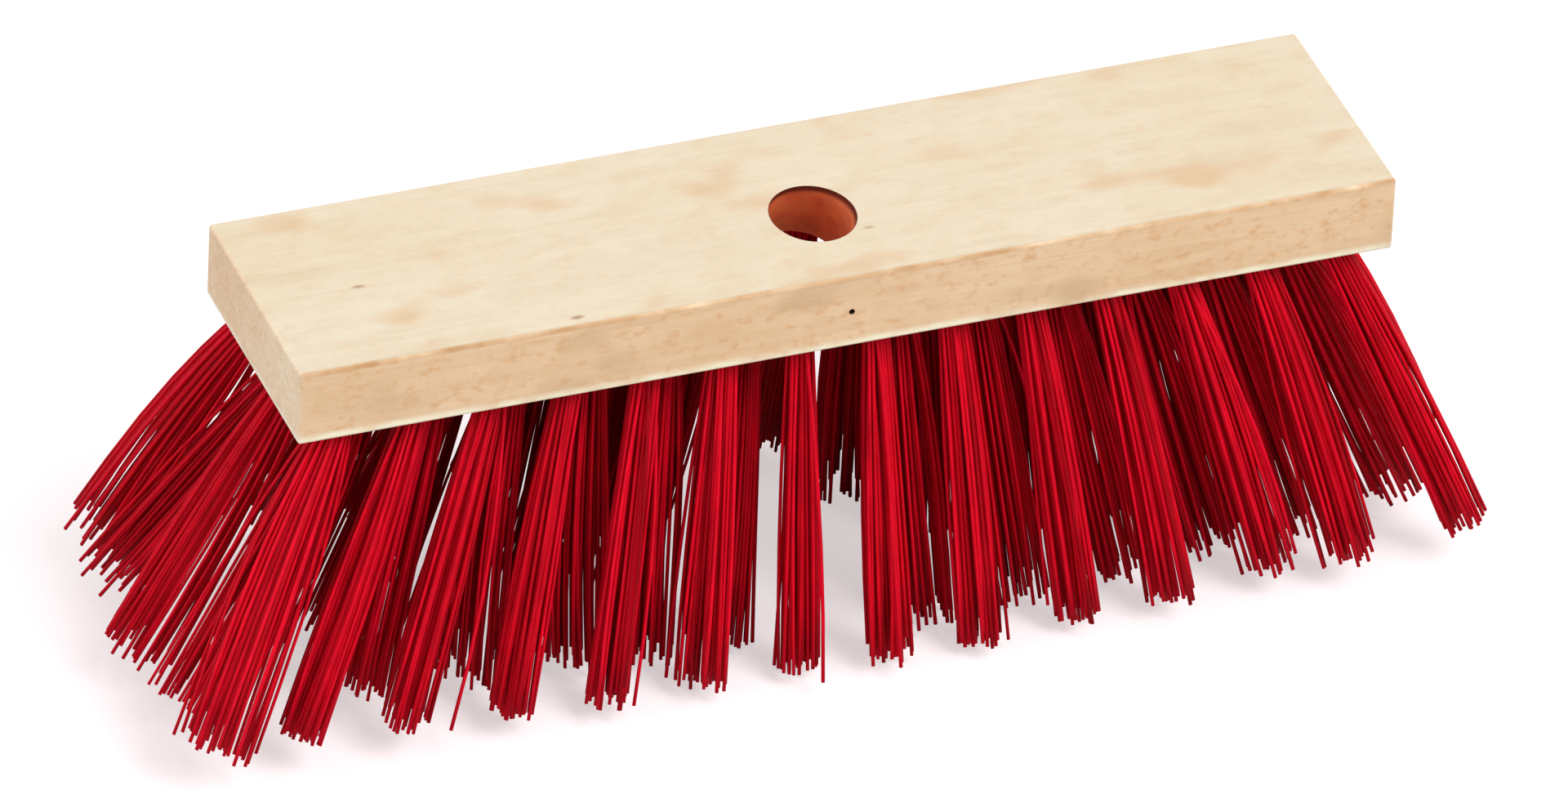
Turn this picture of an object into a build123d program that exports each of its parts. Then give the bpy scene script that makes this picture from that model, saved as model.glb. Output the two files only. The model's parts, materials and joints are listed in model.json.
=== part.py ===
from build123d import *
import math
import os

# Broom head: a wooden block with five rows of stapled bristle tufts and a tilted handle bore.
# Units are millimetres. X runs along the block, -Y is the front, where the handle leans,
# and +Z is up. The origin is on the ground, under the middle of the block.

# Block
BLOCK_LENGTH = 320.0
BLOCK_WIDTH = 76.0
BLOCK_THICKNESS = 23.0
BLOCK_EDGE_RADIUS = 1.0
UNDERSIDE_HEIGHT = 98.5

# Handle bore, right through the middle of the block, and its nail hole
HANDLE_DIAMETER = 24.0
HANDLE_TILT = 28.0
NAIL_HOLE_DIAMETER = 1.6

# Tufts
TUFT_PITCH = 22.2
ROW_SPACING = 13.8
TUFT_HOLE_DIAMETER = 9.0
TUFT_HOLE_DEPTH = 14.0
TUFT_HOLE_CLEARANCE = 0.05
STRAIGHT_ROOT = 3.0
BRISTLE_LENGTH = 100.0
FLARE_END = 22.0
TUFT_FLARE_DIAMETER = 12.6
TUFT_TIP_DIAMETER = 13.6
END_FAN_LEAN = 26.0

# Anchors: flat wire driven across the folded bristles at the bottom of each hole
ANCHOR_LENGTH = 11.0
ANCHOR_HEIGHT = 2.0
ANCHOR_THICKNESS = 0.5
ANCHOR_LIFT = 1.2

# Each row: name, place counted from the middle row, number of holes, lean towards the back.
# The middle holes that would break into the handle bore are not drilled.
ROWS = [
    ("front", -2, 14, -15.5),
    ("second", -1, 13, -10.7),
    ("middle", 0, 14, 0.0),
    ("fourth", 1, 13, 10.7),
    ("back", 2, 14, 15.5),
]
BORED_ROWS = ("second", "middle", "fourth")
BORE_KEEP_OUT = 16.0
PAIRED_ROWS = ("second", "fourth")

# Cutting tools reach this far past the faces that they cut
CUTTER_OVERRUN = 30.0
GROUND_LENGTH = 640.0
GROUND_WIDTH = 240.0

END_TUFT_X = TUFT_PITCH * (ROWS[0][2] - 1) / 2
MID_HEIGHT = UNDERSIDE_HEIGHT + BLOCK_THICKNESS / 2


def tuft_places(row):
    """Return the X of every tuft in a row, without those at the handle bore."""
    name, _, count, _ = row
    places = [(i - (count - 1) / 2) * TUFT_PITCH for i in range(count)]
    if name in BORED_ROWS:
        places = [x for x in places if abs(x) > BORE_KEEP_OUT]
    return places


def tuft_plane(row, x):
    """Return the plane at a tuft's mouth in the underside, with its Z up along the hole."""
    _, step, _, row_lean = row
    across = math.sin(math.radians(END_FAN_LEAN * x / END_TUFT_X))
    along = math.sin(math.radians(row_lean))
    up = math.sqrt(1 - across**2 - along**2)
    mouth = (x, step * ROW_SPACING, UNDERSIDE_HEIGHT)
    return Plane(origin=mouth, x_dir=(up, 0, across), z_dir=(-across, -along, up))


def rod(plane, radius, bottom, top):
    """Return a cylinder on a plane's Z axis, between two heights along it."""
    return plane * Pos(0, 0, (bottom + top) / 2) * Cylinder(radius, top - bottom)


def taper(plane, top, top_diameter, bottom, bottom_diameter):
    """Return a cone on a plane's Z axis, between two depths below the plane."""
    frustum = Cone(bottom_diameter / 2, top_diameter / 2, bottom - top)
    return plane * Pos(0, 0, -(top + bottom) / 2) * frustum


def anchor(plane):
    """Return one flat wire anchor, lying across the bottom of its hole."""
    height = TUFT_HOLE_DEPTH - ANCHOR_LIFT - ANCHOR_HEIGHT / 2
    return plane * Pos(0, 0, height) * Box(ANCHOR_LENGTH, ANCHOR_THICKNESS, ANCHOR_HEIGHT)


def tuft(plane):
    """Return one tuft: a root that fills its hole, a short flare, and a nearly straight bundle."""
    root_diameter = TUFT_HOLE_DIAMETER - 2 * TUFT_HOLE_CLEARANCE
    root = rod(plane, root_diameter / 2, -STRAIGHT_ROOT, TUFT_HOLE_DEPTH)
    flare = taper(plane, STRAIGHT_ROOT, root_diameter, FLARE_END, TUFT_FLARE_DIAMETER)
    bundle = taper(plane, FLARE_END, TUFT_FLARE_DIAMETER, BRISTLE_LENGTH, TUFT_TIP_DIAMETER)
    ground = Pos(0, 0, -CUTTER_OVERRUN / 2) * Box(GROUND_LENGTH, GROUND_WIDTH, CUTTER_OVERRUN)
    return root + flare + bundle - ground - anchor(plane)


def block(planes):
    """Return the block, drilled for the tufts, their anchors, the handle and its nail."""
    body = Pos(0, 0, MID_HEIGHT) * Box(BLOCK_LENGTH, BLOCK_WIDTH, BLOCK_THICKNESS)
    body = fillet(body.edges(), BLOCK_EDGE_RADIUS)
    tilt = math.radians(HANDLE_TILT)
    handle_way = (0, -math.sin(tilt), math.cos(tilt))
    handle = Plane(origin=(0, 0, MID_HEIGHT), x_dir=(1, 0, 0), z_dir=handle_way)
    body -= rod(handle, HANDLE_DIAMETER / 2, -CUTTER_OVERRUN, CUTTER_OVERRUN)
    nail = Plane(origin=(0, 0, MID_HEIGHT), x_dir=(1, 0, 0), z_dir=(0, -1, 0))
    body -= rod(nail, NAIL_HOLE_DIAMETER / 2, 0, BLOCK_WIDTH)
    cutters = []
    for plane in planes:
        cutters.append(rod(plane, TUFT_HOLE_DIAMETER / 2, -CUTTER_OVERRUN, TUFT_HOLE_DEPTH))
        cutters.append(anchor(plane))
    return body.cut(*cutters)


def save(shapes, name):
    """Write one node's STEP file, with one solid or a group of separate solids."""
    shape = shapes[0] if len(shapes) == 1 else Compound(children=shapes)
    export_step(shape, f"parts/{name}.step")


def build():
    """Make every node and write it to parts/."""
    os.makedirs("parts", exist_ok=True)
    all_planes = []
    for row in ROWS:
        name = row[0]
        planes = [tuft_plane(row, x) for x in tuft_places(row)]
        all_planes += planes
        group = 2 if name in PAIRED_ROWS else 1
        for first in range(0, len(planes), group):
            members = planes[first:first + group]
            numbers = "_".join(f"{first + i + 1:02d}" for i in range(len(members)))
            save([tuft(plane) for plane in members], f"tuft_{name}_{numbers}")
        save([anchor(plane) for plane in planes], f"anchors_{name}_row")
    save([block(all_planes)], "wooden_block")


build()
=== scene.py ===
import bpy
import json
import math
import random
import numpy as np
from mathutils import Matrix, Vector


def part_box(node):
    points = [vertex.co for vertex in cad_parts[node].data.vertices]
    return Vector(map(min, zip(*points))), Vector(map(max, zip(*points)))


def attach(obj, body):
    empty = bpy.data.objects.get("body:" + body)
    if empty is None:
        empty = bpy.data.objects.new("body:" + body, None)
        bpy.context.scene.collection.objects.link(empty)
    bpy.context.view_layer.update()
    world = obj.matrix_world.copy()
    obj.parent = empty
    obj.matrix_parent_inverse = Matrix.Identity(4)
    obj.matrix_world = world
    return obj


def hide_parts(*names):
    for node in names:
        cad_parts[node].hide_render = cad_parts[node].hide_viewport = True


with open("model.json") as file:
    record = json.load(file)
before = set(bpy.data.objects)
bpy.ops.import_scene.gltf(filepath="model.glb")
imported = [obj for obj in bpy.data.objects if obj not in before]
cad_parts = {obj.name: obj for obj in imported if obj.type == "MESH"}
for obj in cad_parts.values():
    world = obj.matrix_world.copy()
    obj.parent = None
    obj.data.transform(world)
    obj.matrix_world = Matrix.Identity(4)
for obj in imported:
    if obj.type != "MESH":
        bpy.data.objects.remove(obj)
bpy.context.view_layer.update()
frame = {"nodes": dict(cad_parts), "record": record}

MM = 0.001

# The block's top face centre is the point that the camera's aim is measured from.
block_low, block_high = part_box("wooden_block")
TOP = Vector(((block_low[0] + block_high[0]) / 2, (block_low[1] + block_high[1]) / 2, block_high[2]))
UNDERSIDE = block_low[2]
GROUND = 0.0

# Wood. Each list is a ramp: a place along its noise, and the colour there. The shares say how
# strongly a ramp darkens the wood. Each noise has a scale in cells per metre along X, Y and Z, its
# detail and, where they aren't the usual ones, its roughness and distortion.
TOP_WOOD = [(0.30, (0.76, 0.65, 0.485)), (0.55, (0.79, 0.69, 0.525)), (0.75, (0.755, 0.64, 0.47))]
SIDE_WOOD = [(0.30, (0.83, 0.570, 0.34)), (0.55, (0.92, 0.665, 0.43)), (0.75, (0.82, 0.550, 0.32))]
# The end colours are lighter than the top's as painted light, making up for the less light that
# falls on the ends; their hue is the wood's own.
END_WOOD_AND_PAINTED_LIGHT = [(0.35, (0.97, 0.73, 0.52)), (0.65, (1.0, 0.83, 0.61))]
BAND_NOISE = ((7, 95, 95), 4.0, 0.55, 0.6)
CLOUD_NOISE = ((14, 26, 26), 3.0)
CLOUDS = [(0.30, (0.95, 0.90, 0.82)), (0.60, (1.0, 1.0, 1.0))]
CLOUD_SHARE = 0.7
FIBRE_NOISE = ((22, 900, 900), 5.0, 0.62)
FIBRES = [(0.32, (0.88, 0.83, 0.76)), (0.52, (1.0, 1.0, 1.0)), (0.80, (0.97, 0.95, 0.92))]
FIBRE_SHARE = 0.26
PORE_NOISE = ((200, 560, 560), 3.0, 0.7)
PORES = [(0.38, (0.84, 0.76, 0.66)), (0.58, (1.0, 1.0, 1.0))]
PORE_SHARE = 0.55
MOTTLE_NOISE = ((75, 130, 130), 4.0, 0.62)
MOTTLE = [(0.36, (0.94, 0.89, 0.83)), (0.54, (1.0, 1.0, 1.0))]
MOTTLE_SHARE = 0.6
FRECKLE_NOISE = ((290, 430, 430), 3.0)
FRECKLE_RANGE = (0.53, 0.74)
FRECKLE = (0.76, 0.42, 0.19)
FRECKLE_SHARE = 0.18
MORE_ON_SIDES = 0.55
WOOD_ROUGHNESS = (0.52, 0.72)
WOOD_BUMP = (0.25, 0.0003)

# Knots are dark dots at scattered cell centres, and smudges are soft, faint patches.
KNOT = (0.36, 0.17, 0.07)
KNOT_CELLS = (17, 38, 38)
KNOT_RADIUS = 0.060
KNOT_CORE = 0.024
SMUDGE = (0.70, 0.47, 0.27)
SMUDGE_NOISE = ((32, 52, 52), 1.5)
SMUDGE_RANGE = (0.55, 0.75)
SMUDGE_SHARE = 0.75
MARKS_SHIFT = (3.1, 0.4, 1.7)

# The handle bore is rusty red with a dark rim, and the nail hole is painted nearly black as painted
# shade in its depth.
RUST_NOISE = ((90, 70, 70), 5.0)
RUST = [(0.32, (0.68, 0.14, 0.052)), (0.55, (0.99, 0.29, 0.105)), (0.78, (1.0, 0.45, 0.17))]
RIM = (0.15, 0.020, 0.008)
RIM_DEPTH = 4.0 * MM
RIM_DARK_DEPTH = 1.2 * MM
NAIL_HOLE_PAINTED_SHADE = (0.05, 0.02, 0.01)
HOLE_FADE = 0.15 * MM
HOLE_MARGIN = HOLE_FADE / 8

# Edges that differ in colour: level axis, place on it and on Z, colour, width and strength.
FRONT_Y = block_low[1]
LEFT_X = block_low[0]
EDGE_LINES_AND_HIGHLIGHTS = [
    ("Y", (FRONT_Y, TOP.z), (0.52, 0.27, 0.10), 1.5 * MM, 1.5),
    # Painted highlights: the two pale lines along the bottom edges.
    ("Y", (FRONT_Y, UNDERSIDE), (1.0, 0.91, 0.67), 3.2 * MM, 2.4),
    ("X", (LEFT_X, UNDERSIDE), (1.0, 0.93, 0.74), 2.8 * MM, 2.4),
]
EDGE_NOISE = ((70, 70, 70), 3.0)
EDGE_NOISE_RANGE = (0.30, 0.66)

# Anchor wire
WIRE_NOISE = ((200, 3000, 3000), 3.0)
WIRE = [(0.3, (0.33, 0.32, 0.30)), (0.7, (0.62, 0.60, 0.57))]
WIRE_ROUGHNESS = (0.28, 0.5)

# Bristle plastic: the first ramp goes from strand to strand, and the second over each strand.
STRAND_COLOURS = [(0.0, (0.35, 0.0008, 0.006)), (0.14, (0.70, 0.0015, 0.014)),
                  (1.0, (0.88, 0.003, 0.024))]
PATCH_NOISE = ((260, 260, 40), 3.0)
PATCHES = [(0.3, (0.72, 0.72, 0.72)), (0.7, (1.0, 1.0, 1.0))]
RIDGE_NOISE = ((1500, 1500, 120), 2.0)
BRISTLE_ROUGHNESS = (0.34, 0.50)
BRISTLE_SPECULAR = 0.09
BRISTLE_BUMP = (0.22, 0.0002)

# Bristles. Shares run down a strand, from 0 at the block to 1 at its tip.
FILAMENTS = 44
FILAMENT_RADIUS = 0.55 * MM
FILAMENT_SIDES = 6
FILAMENT_SHARES = (-0.06, 0.0, 0.05, 0.11, 0.18, 0.28, 0.42, 0.60, 0.80, 1.0)
ROOT_FILL = 0.84
TIP_SPREAD = 0.70
INNER_SPREAD = 1.06
LEFT_END_SPREAD = 1.16
FLARE_POWER = 1.8
EARLY_FLARE_POWER = 3.0
RAGGED_TIP = 3.1 * MM
TIP_JITTER = 0.75 * MM
STRAND_BOW = 0.55 * MM
THICKNESS_RANGE = (0.9, 1.06)
BEND_POWER = 1.5
STRAY_CHANCE = 0.09
STRAY_LEAN = 2.8 * MM
TUFT_WANDER = 1.9 * MM
# Bends of whole tufts at their tips. The CAD tufts are straight and don't have them; the
# sizes are judged.
BACK_LEFT_BEND = (5 * MM, -4 * MM, 0)
LEFT_END_BEND = (-9 * MM, 3 * MM, 0)
LEFT_PUSH = 13 * MM
LEFT_PUSH_RANGE = (-133 * MM, -22 * MM)
FRONT_FAN_EASE = 0.06
FRONT_RIGHT_SWAY = -3.5 * MM
# How tufts are told apart in the CAD meshes
LEFT_END_NUMBERS = ("_01", "_01_02")
TUFT_COUNT = 64
LEAST_CONE_HEIGHT = 40 * MM
LEAST_ROOT_HEIGHT = 10 * MM
ROOT_BELOW_BLOCK = 6 * MM

# Stage
FLOOR_REACH = 6.0
# The floor's glow is painted light that keeps shadows on it light, and its pinkish colour and glow
# paint a pink tint into those shadows.
FLOOR_SEEN = (0.62, 0.57, 0.58)
FLOOR_GLOW_COLOUR = (1.0, 0.94, 0.95)
FLOOR_GLOW = 0.55
FLOOR_BOUNCE = 0.45
FLOOR_ROUGHNESS = 0.6
WORLD_STRENGTH = 0.60
# Each lamp: name, strength, angle of its soft source and the way that its light goes.
LAMPS = [
    ("key", 2.0, 32.0, (-0.36, 0.50, -0.79)),
    ("fill", 0.8, 40.0, (0.95, 0.10, -0.30)),
]

# Camera
CAMERA_AZIMUTH = 22.13
CAMERA_ELEVATION = 34.98
CAMERA_ROLL = 2.86
CAMERA_DISTANCE = 5.376
CAMERA_AIM = Vector((-14.8, -28.5, -45.6)) * MM
CAMERA_LENS = 450.0
SENSOR_WIDTH = 36.0
CLIP_END = 100.0


def nodes_of(prefix):
    """Return the names of the CAD nodes that start with a prefix, in order."""
    return sorted(name for name in frame["nodes"] if name.startswith(prefix))


# ---------------------------------------------------------------- materials

def new_material(name):
    """Return a new material, its node tree and its main shader."""
    material = bpy.data.materials.new(name)
    material.use_nodes = True
    tree = material.node_tree
    return material, tree, tree.nodes["Principled BSDF"]


def feed(tree, socket, value):
    """Set a socket to a number or a colour, or link another node's output to it."""
    if isinstance(value, (int, float)):
        socket.default_value = value
    elif isinstance(value, tuple):
        socket.default_value = (*value, 1)
    else:
        tree.links.new(value, socket)


def stretch(tree, vector, scale, location=(0, 0, 0)):
    """Return a vector, scaled and moved."""
    node = tree.nodes.new("ShaderNodeMapping")
    node.inputs["Scale"].default_value = scale
    node.inputs["Location"].default_value = location
    tree.links.new(vector, node.inputs["Vector"])
    return node.outputs["Vector"]


def noise(tree, position, scale, detail, rough=0.5, distortion=0.0, location=(0, 0, 0)):
    """Return a noise value at each position, with its own scale along each axis."""
    node = tree.nodes.new("ShaderNodeTexNoise")
    settings = (("Scale", 1.0), ("Detail", detail), ("Roughness", rough), ("Distortion", distortion))
    for name, value in settings:
        node.inputs[name].default_value = value
    tree.links.new(stretch(tree, position, scale, location), node.inputs["Vector"])
    return node.outputs["Fac"]


def ramp(tree, value, stops):
    """Return the colour of a ramp at a value."""
    node = tree.nodes.new("ShaderNodeValToRGB")
    elements = node.color_ramp.elements
    while len(elements) < len(stops):
        elements.new(0.5)
    for element, (place, colour) in zip(elements, stops):
        element.position = place
        element.color = (*colour, 1)
    tree.links.new(value, node.inputs["Fac"])
    return node.outputs["Color"]


def mix(tree, share, first, second, mode="MIX"):
    """Return a mix of two colours, with a share of the second."""
    node = tree.nodes.new("ShaderNodeMix")
    node.data_type = "RGBA"
    node.blend_type = mode
    for index, value in ((0, share), (6, first), (7, second)):
        feed(tree, node.inputs[index], value)
    return node.outputs[2]


def math_node(tree, operation, first, second=None):
    """Return the result of a math node."""
    node = tree.nodes.new("ShaderNodeMath")
    node.operation = operation
    feed(tree, node.inputs[0], first)
    if second is not None:
        feed(tree, node.inputs[1], second)
    return node.outputs[0]


def vector_math(tree, operation, first, second=None):
    """Return a vector math node."""
    node = tree.nodes.new("ShaderNodeVectorMath")
    node.operation = operation
    tree.links.new(first, node.inputs[0])
    if second is not None:
        node.inputs[1].default_value = second
    return node


def map_range(tree, value, start, end, low=0.0, high=1.0, smooth=False):
    """Return a value that goes from low to high while another goes from start to end."""
    node = tree.nodes.new("ShaderNodeMapRange")
    if smooth:
        node.interpolation_type = "SMOOTHSTEP"
    settings = (("From Min", start), ("From Max", end), ("To Min", low), ("To Max", high))
    for name, number in settings:
        node.inputs[name].default_value = number
    tree.links.new(value, node.inputs["Value"])
    return node.outputs[0]


def split_axes(tree, vector):
    """Return a vector's X, Y and Z outputs."""
    node = tree.nodes.new("ShaderNodeSeparateXYZ")
    tree.links.new(vector, node.inputs[0])
    return node.outputs


def set_surface(tree, shader, rough_field, roughness, bump_field=None, bump=None):
    """Vary a shader's roughness with one field and its relief with another."""
    tree.links.new(map_range(tree, rough_field, 0.0, 1.0, *roughness), shader.inputs["Roughness"])
    if bump:
        node = tree.nodes.new("ShaderNodeBump")
        node.inputs["Strength"].default_value, node.inputs["Distance"].default_value = bump
        tree.links.new(bump_field, node.inputs["Height"])
        tree.links.new(node.outputs[0], shader.inputs["Normal"])


def knots(tree, position):
    """Return 1 at small scattered dots and 0 elsewhere."""
    cells = tree.nodes.new("ShaderNodeTexVoronoi")
    cells.inputs["Scale"].default_value = 1.0
    tree.links.new(stretch(tree, position, KNOT_CELLS, MARKS_SHIFT), cells.inputs["Vector"])
    return map_range(tree, cells.outputs["Distance"], KNOT_RADIUS, KNOT_CORE, smooth=True)


def smudges(tree, position):
    """Return soft patches, between 0 and a little under 1."""
    field = noise(tree, position, *SMUDGE_NOISE, location=MARKS_SHIFT)
    return map_range(tree, field, *SMUDGE_RANGE, high=SMUDGE_SHARE, smooth=True)


def freckles(tree, position, is_side):
    """Return how strongly freckles show, which is more on the long sides."""
    field = noise(tree, position, *FRECKLE_NOISE)
    dots = map_range(tree, field, *FRECKLE_RANGE)
    share = math_node(tree, "MULTIPLY", is_side, MORE_ON_SIDES)
    return math_node(tree, "MULTIPLY", dots, math_node(tree, "ADD", share, FRECKLE_SHARE))


def in_hole(tree, position, mount_name):
    """Return 1 inside a hole that the record's mounts name, and 0 outside it."""
    hole = next(m for m in frame["record"]["mounts"] if m["name"] == mount_name)
    radius = hole["dims"]["r_mm"] * MM
    reach = hole["dims"]["length_mm"] * MM / 2 + HOLE_FADE
    axis = Vector(hole["axis"]).normalized()
    moved = vector_math(tree, "SUBTRACT", position, hole["pos_m"]).outputs[0]
    across = vector_math(tree, "CROSS_PRODUCT", moved, axis).outputs[0]
    distance = vector_math(tree, "LENGTH", across).outputs["Value"]
    inside = map_range(tree, distance, radius + HOLE_FADE, radius + HOLE_MARGIN)
    along = vector_math(tree, "DOT_PRODUCT", moved, axis).outputs["Value"]
    within = math_node(tree, "LESS_THAN", math_node(tree, "ABSOLUTE", along), reach)
    return math_node(tree, "MULTIPLY", inside, within)


def edge_line(tree, position, axis, place, width):
    """Return 1 along a straight edge, at its place on a level axis and on Z, fading over a width."""
    axes = split_axes(tree, position)
    level = math_node(tree, "ABSOLUTE", math_node(tree, "SUBTRACT", axes[axis], place[0]))
    height = math_node(tree, "ABSOLUTE", math_node(tree, "SUBTRACT", axes["Z"], place[1]))
    return map_range(tree, math_node(tree, "MAXIMUM", level, height), width, 0.0)


def bare_wood(tree, position, fibres, is_side, is_end):
    """Return the colour of plain wood: growth bands, long grain, end pores and mottling, with the
    ends painted lighter as painted light.
    """
    bands = noise(tree, position, *BAND_NOISE)
    clouds = noise(tree, position, *CLOUD_NOISE)
    colour = mix(tree, is_side, ramp(tree, bands, TOP_WOOD), ramp(tree, bands, SIDE_WOOD))
    # The end faces get a lighter colour, painted light for the less light that falls on them.
    colour = mix(tree, is_end, colour, ramp(tree, clouds, END_WOOD_AND_PAINTED_LIGHT))
    colour = mix(tree, FIBRE_SHARE, colour, ramp(tree, fibres, FIBRES), "MULTIPLY")
    colour = mix(tree, CLOUD_SHARE, colour, ramp(tree, clouds, CLOUDS), "MULTIPLY")
    pores = noise(tree, position, *PORE_NOISE)
    on_end = math_node(tree, "MULTIPLY", is_end, PORE_SHARE)
    colour = mix(tree, on_end, colour, ramp(tree, pores, PORES), "MULTIPLY")
    mottle = noise(tree, position, *MOTTLE_NOISE)
    return mix(tree, MOTTLE_SHARE, colour, ramp(tree, mottle, MOTTLE), "MULTIPLY")


def with_holes(tree, position, colour):
    """Return a colour with painted shade darkening the nail hole and the handle bore rusty, dark at
    its rim.
    """
    rust = ramp(tree, noise(tree, position, *RUST_NOISE), RUST)
    height = split_axes(tree, position)["Z"]
    rim = map_range(tree, height, TOP.z - RIM_DEPTH, TOP.z - RIM_DARK_DEPTH, smooth=True)
    rust = mix(tree, rim, rust, RIM)
    # Painted shade: the nail hole is coloured nearly black for the shade in its depth.
    colour = mix(tree, in_hole(tree, position, "nail_hole"), colour, NAIL_HOLE_PAINTED_SHADE)
    return mix(tree, in_hole(tree, position, "handle_bore"), colour, rust)


def with_edges(tree, position, colour):
    """Return a colour with a broken dark brown line along the top front edge and painted highlights
    along the bottom edges.
    """
    # The pale lines along the bottom edges are painted highlights.
    for axis, place, shade, width, strength in EDGE_LINES_AND_HIGHLIGHTS:
        field = noise(tree, position, *EDGE_NOISE)
        broken = math_node(tree, "MULTIPLY", map_range(tree, field, *EDGE_NOISE_RANGE), strength)
        line = math_node(tree, "MULTIPLY", edge_line(tree, position, axis, place, width), broken)
        colour = mix(tree, line, colour, shade)
    return colour


def wood_material():
    """Return planed pale wood, with grain, knots, smudges, edge lines and a rusty bore, with painted
    highlights on its bottom edges, painted shade in its nail hole and painted light on its ends.
    """
    material, tree, shader = new_material("wood")
    geometry = tree.nodes.new("ShaderNodeNewGeometry")
    position = geometry.outputs["Position"]
    normal = split_axes(tree, geometry.outputs["True Normal"])
    is_side = math_node(tree, "ABSOLUTE", normal["Y"])
    is_end = math_node(tree, "ABSOLUTE", normal["X"])
    fibres = noise(tree, position, *FIBRE_NOISE)
    colour = bare_wood(tree, position, fibres, is_side, is_end)
    colour = mix(tree, freckles(tree, position, is_side), colour, FRECKLE)
    colour = mix(tree, smudges(tree, position), colour, SMUDGE)
    colour = mix(tree, knots(tree, position), colour, KNOT)
    colour = with_holes(tree, position, colour)
    colour = with_edges(tree, position, colour)
    tree.links.new(colour, shader.inputs["Base Color"])
    set_surface(tree, shader, fibres, WOOD_ROUGHNESS, fibres, WOOD_BUMP)
    return material


def bristle_material():
    """Return glossy red extruded plastic, a little different along and between strands."""
    material, tree, shader = new_material("bristle")
    position = tree.nodes.new("ShaderNodeNewGeometry").outputs["Position"]
    strand = tree.nodes.new("ShaderNodeAttribute")
    strand.attribute_name = "strand"
    patch = noise(tree, position, *PATCH_NOISE)
    base = ramp(tree, strand.outputs["Fac"], STRAND_COLOURS)
    colour = mix(tree, 1.0, base, ramp(tree, patch, PATCHES), "MULTIPLY")
    tree.links.new(colour, shader.inputs["Base Color"])
    shader.inputs["Specular IOR Level"].default_value = BRISTLE_SPECULAR
    ridges = noise(tree, position, *RIDGE_NOISE)
    set_surface(tree, shader, patch, BRISTLE_ROUGHNESS, ridges, BRISTLE_BUMP)
    return material


def wire_material():
    """Return drawn steel wire with fine marks along it."""
    material, tree, shader = new_material("anchor_wire")
    position = tree.nodes.new("ShaderNodeNewGeometry").outputs["Position"]
    marks = noise(tree, position, *WIRE_NOISE)
    tree.links.new(ramp(tree, marks, WIRE), shader.inputs["Base Color"])
    shader.inputs["Metallic"].default_value = 1.0
    set_surface(tree, shader, marks, WIRE_ROUGHNESS)
    return material


def seen_by_camera(tree, other, seen, output):
    """Show one shader to the camera, and use another for the light that it sends out."""
    choose = tree.nodes.new("ShaderNodeMixShader")
    path = tree.nodes.new("ShaderNodeLightPath")
    tree.links.new(path.outputs["Is Camera Ray"], choose.inputs[0])
    tree.links.new(other.outputs[0], choose.inputs[1])
    tree.links.new(seen.outputs[0], choose.inputs[2])
    tree.links.new(choose.outputs[0], output.inputs["Surface"])


# ------------------------------------------------------------------- tufts

def islands(mesh):
    """Return the points of each connected piece of a mesh, in metres."""
    near = [[] for _ in mesh.vertices]
    for edge in mesh.edges:
        a, b = edge.vertices
        near[a].append(b)
        near[b].append(a)
    seen = [False] * len(near)
    found = []
    for start in range(len(near)):
        if seen[start]:
            continue
        seen[start] = True
        stack, points = [start], []
        while stack:
            v = stack.pop()
            points.append(tuple(mesh.vertices[v].co))
            for w in near[v]:
                if not seen[w]:
                    seen[w] = True
                    stack.append(w)
        found.append(np.array(points))
    return found


def off_axis(points, mouth, way):
    """Return each point's distance from a tuft's axis."""
    away = points - mouth
    return np.linalg.norm(away - np.outer(away @ way, way), axis=1)


def tuft_axes(name):
    """Return mouth, way down, length, root radius and tip radius of each tuft in a CAD node."""
    roots, cones = [], []
    for points in islands(frame["nodes"][name].data):
        tall = np.ptp(points[:, 2])
        if tall > LEAST_CONE_HEIGHT:
            cones.append(points)
        elif tall > LEAST_ROOT_HEIGHT and points[:, 2].min() > UNDERSIDE - ROOT_BELOW_BLOCK:
            roots.append(points)
    tufts = []
    for points in roots:
        centre = points.mean(axis=0)
        way = np.linalg.svd(points - centre)[2][0]
        if way[2] > 0:
            way = -way
        mouth = centre + way * (UNDERSIDE - centre[2]) / way[2]
        cone = min(cones, key=lambda cloud: off_axis(cloud, mouth, way).max())
        length = ((cone - mouth) @ way).max()
        root_radius = off_axis(points, mouth, way).mean()
        tip_radius = off_axis(cone, mouth, way).max()
        tufts.append((Vector(mouth), Vector(way), length, root_radius, tip_radius))
    return sorted(tufts, key=lambda t: t[0].x)


def above_floor(points):
    """Return a strand's points, cut short where it would go into the floor."""
    while points[-1].z < FILAMENT_RADIUS and len(points) > 2:
        above, below = points[-2], points[-1]
        if above.z <= FILAMENT_RADIUS:
            points.pop()
            continue
        cut = (above.z - FILAMENT_RADIUS) / (above.z - below.z)
        points[-1] = above.lerp(below, cut)
        break
    return points


def strand_line(rng, tuft, place, bend, tip_spread, flare_power):
    """Return the points of one strand, from inside its hole to its tip."""
    mouth, way, length, root_radius, tip_radius = tuft
    side = Vector((1, 0, 0)) - way * way.x
    side.normalize()
    other = way.cross(side)
    root = place * root_radius * ROOT_FILL
    tip = place * tip_radius * tip_spread
    tip = tip + Vector((rng.gauss(0, 1), rng.gauss(0, 1))) * TIP_JITTER
    if rng.random() < STRAY_CHANCE:
        tip = tip + Vector((rng.gauss(0, 1), rng.gauss(0, 1))) * STRAY_LEAN
    reach = length - abs(rng.gauss(0, 1)) * RAGGED_TIP
    bow = Vector((rng.gauss(0, 1), rng.gauss(0, 1))) * STRAND_BOW
    points = []
    for share in FILAMENT_SHARES:
        flare = 1 - (1 - max(0.0, share)) ** flare_power
        spread = root.lerp(tip, flare) + bow * math.sin(math.pi * max(0.0, share))
        point = mouth + way * reach * share + side * spread.x + other * spread.y
        points.append(point + bend * max(0.0, share) ** BEND_POWER)
    return above_floor(points)


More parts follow.
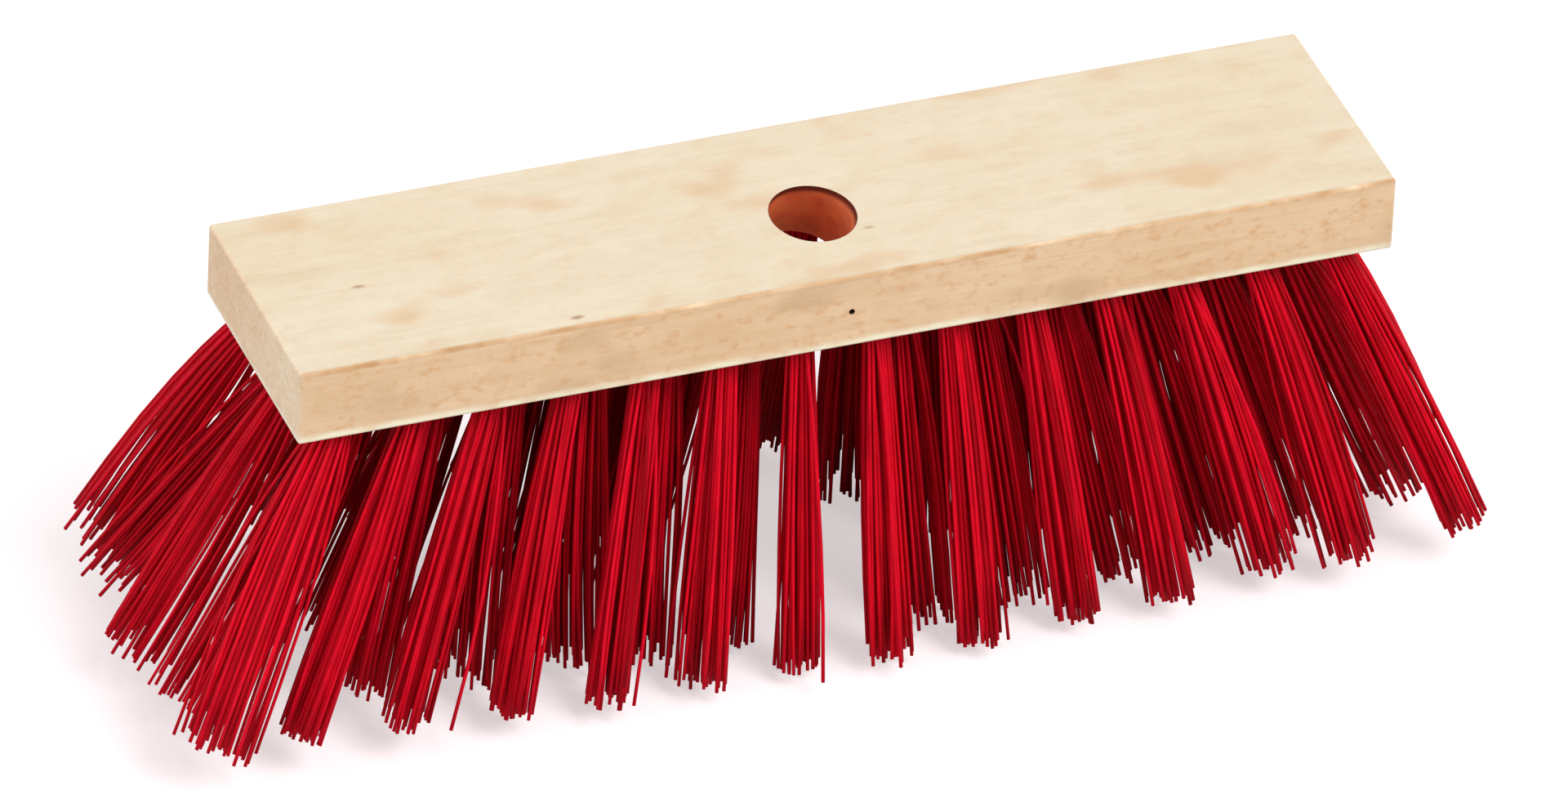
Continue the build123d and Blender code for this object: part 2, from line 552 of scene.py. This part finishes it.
def add_tube(verts, faces, values, points, radius, value):
    """Add one closed tube with flat ends along some points."""
    first = len(verts)
    way = (points[-1] - points[0]).normalized()
    side = Vector((1, 0, 0)) - way * way.x
    side.normalize()
    other = way.cross(side)
    count = len(points)
    for point in points:
        for k in range(FILAMENT_SIDES):
            turn = 2 * math.pi * k / FILAMENT_SIDES
            verts.append(point + (side * math.cos(turn) + other * math.sin(turn)) * radius)
            values.append(value)
    for i in range(count - 1):
        for k in range(FILAMENT_SIDES):
            a = first + i * FILAMENT_SIDES + k
            b = first + i * FILAMENT_SIDES + (k + 1) % FILAMENT_SIDES
            faces.append((a, b, b + FILAMENT_SIDES, a + FILAMENT_SIDES))
    last = first + (count - 1) * FILAMENT_SIDES
    faces.append(tuple(first + k for k in reversed(range(FILAMENT_SIDES))))
    faces.append(tuple(last + k for k in range(FILAMENT_SIDES)))


def disc_places(rng, count):
    """Return even places in a unit disc, turned by a chance angle."""
    start = rng.random() * 2 * math.pi
    golden = math.pi * (3 - math.sqrt(5))
    places = []
    for i in range(count):
        r = math.sqrt((i + 0.5) / count)
        places.append(Vector((r * math.cos(start + i * golden), r * math.sin(start + i * golden))))
    return places


def tuft_bend(rng, name, tuft, at_left_end):
    """Return how far a tuft's tips are bent away from its straight CAD line."""
    bend = Vector((rng.gauss(0, 1), rng.gauss(0, 1), 0)) * TUFT_WANDER
    mouth, way, length = tuft[:3]
    inner = name.startswith(("tuft_second", "tuft_fourth"))
    if at_left_end and name.startswith("tuft_back"):
        return Vector(BACK_LEFT_BEND)
    if at_left_end and inner:
        return Vector(LEFT_END_BEND)
    if inner:
        low, high = LEFT_PUSH_RANGE
        share = min(1.0, max(0.0, (mouth.x - low) / (high - low)))
        bend.x += LEFT_PUSH * math.sin(math.pi * share)
    if name.startswith("tuft_front"):
        bend.x -= way.x * length * FRONT_FAN_EASE
        if mouth.x > 0:
            bend.x += FRONT_RIGHT_SWAY
    return bend


def make_tufts(name, material):
    """Replace one CAD tuft node by its separate strands."""
    rng = random.Random(name)
    verts, faces, values = [], [], []
    tufts = tuft_axes(name)
    for tuft in tufts:
        at_left_end = tuft is tufts[0] and name.endswith(LEFT_END_NUMBERS)
        outer = name.startswith(("tuft_front", "tuft_back"))
        spread = LEFT_END_SPREAD if at_left_end else TIP_SPREAD if outer else INNER_SPREAD
        flare_power = FLARE_POWER if outer and not at_left_end else EARLY_FLARE_POWER
        bend = tuft_bend(rng, name, tuft, at_left_end)
        for place in disc_places(rng, FILAMENTS):
            line = strand_line(rng, tuft, place, bend, spread, flare_power)
            radius = FILAMENT_RADIUS * rng.uniform(*THICKNESS_RANGE)
            add_tube(verts, faces, values, line, radius, rng.random())
    mesh = bpy.data.meshes.new("bristles_" + name[len("tuft_"):])
    mesh.from_pydata(verts, [], faces)
    attribute = mesh.attributes.new("strand", "FLOAT", "POINT")
    attribute.data.foreach_set("value", values)
    for polygon in mesh.polygons:
        polygon.use_smooth = len(polygon.vertices) == 4
    mesh.materials.append(material)
    piece = bpy.data.objects.new(mesh.name, mesh)
    bpy.context.scene.collection.objects.link(piece)
    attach(piece, "root")
    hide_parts(name)
    return len(tufts)


def repaint(name, material):
    """Give a CAD node a procedural material in place of its plain one."""
    slots = frame["nodes"][name].data.materials
    slots.clear()
    slots.append(material)


wood = wood_material()
wire = wire_material()
bristle = bristle_material()
repaint("wooden_block", wood)
for name in nodes_of("anchors_"):
    repaint(name, wire)
made = sum(make_tufts(name, bristle) for name in nodes_of("tuft_"))
if made != TUFT_COUNT:
    raise SystemExit(f"{made} tufts made, not {TUFT_COUNT}")


# ------------------------------------------------------- floor, light, camera

def make_floor():
    """Make a plain floor that looks white, with a painted glow that lightens its shadows and tints
    them pink, and that bounces less light up than it shows.
    """
    mesh = bpy.data.meshes.new("floor")
    reach = FLOOR_REACH
    mesh.from_pydata([(-reach, -reach, GROUND), (reach, -reach, GROUND), (reach, reach, GROUND),
                      (-reach, reach, GROUND)], [], [(0, 1, 2, 3)])
    material, tree, shader = new_material("floor")
    shader.inputs["Base Color"].default_value = (*FLOOR_SEEN, 1)
    shader.inputs["Roughness"].default_value = FLOOR_ROUGHNESS
    shader.inputs["Emission Color"].default_value = (*FLOOR_GLOW_COLOUR, 1)
    shader.inputs["Emission Strength"].default_value = FLOOR_GLOW
    bounce = tree.nodes.new("ShaderNodeBsdfDiffuse")
    bounce.inputs["Color"].default_value = (*[FLOOR_BOUNCE] * 3, 1)
    seen_by_camera(tree, bounce, shader, tree.nodes["Material Output"])
    mesh.materials.append(material)
    floor = bpy.data.objects.new("floor", mesh)
    bpy.context.scene.collection.objects.link(floor)


def make_lamps():
    """Make a soft key lamp from the front right and a weak fill from the left."""
    for name, strength, angle, way in LAMPS:
        data = bpy.data.lights.new(name, "SUN")
        data.energy = strength
        data.angle = math.radians(angle)
        lamp = bpy.data.objects.new(name, data)
        lamp.rotation_euler = Vector(way).to_track_quat("-Z", "Y").to_euler()
        bpy.context.scene.collection.objects.link(lamp)


def make_world():
    """Make an even surround that looks white, and lights the scene less than it shows."""
    world = bpy.data.worlds.new("studio")
    world.use_nodes = True
    tree = world.node_tree
    lit = tree.nodes["Background"]
    lit.inputs["Color"].default_value = (1, 1, 1, 1)
    lit.inputs["Strength"].default_value = WORLD_STRENGTH
    seen = tree.nodes.new("ShaderNodeBackground")
    seen.inputs["Color"].default_value = (1, 1, 1, 1)
    seen_by_camera(tree, lit, seen, tree.nodes["World Output"])
    bpy.context.scene.world = world
    bpy.context.scene.view_settings.view_transform = "Standard"


def make_camera():
    """Make the camera, aimed at a point below the middle of the block's top face."""
    azimuth, elevation = math.radians(CAMERA_AZIMUTH), math.radians(CAMERA_ELEVATION)
    flat = math.cos(elevation)
    ahead = Vector((math.sin(azimuth) * flat, math.cos(azimuth) * flat, -math.sin(elevation)))
    aim = TOP + CAMERA_AIM
    level = Vector((math.cos(azimuth), -math.sin(azimuth), 0))
    upright = level.cross(ahead)
    roll = math.radians(CAMERA_ROLL)
    right = level * math.cos(roll) + upright * math.sin(roll)
    up = right.cross(ahead)
    turn = Matrix((right, up, -ahead)).transposed().to_4x4()
    data = bpy.data.cameras.new("camera")
    data.lens = CAMERA_LENS
    data.sensor_width = SENSOR_WIDTH
    data.clip_end = CLIP_END
    camera = bpy.data.objects.new("camera", data)
    camera.matrix_world = Matrix.Translation(aim - ahead * CAMERA_DISTANCE) @ turn
    bpy.context.scene.collection.objects.link(camera)
    bpy.context.scene.camera = camera


make_floor()
make_world()
make_lamps()
make_camera()
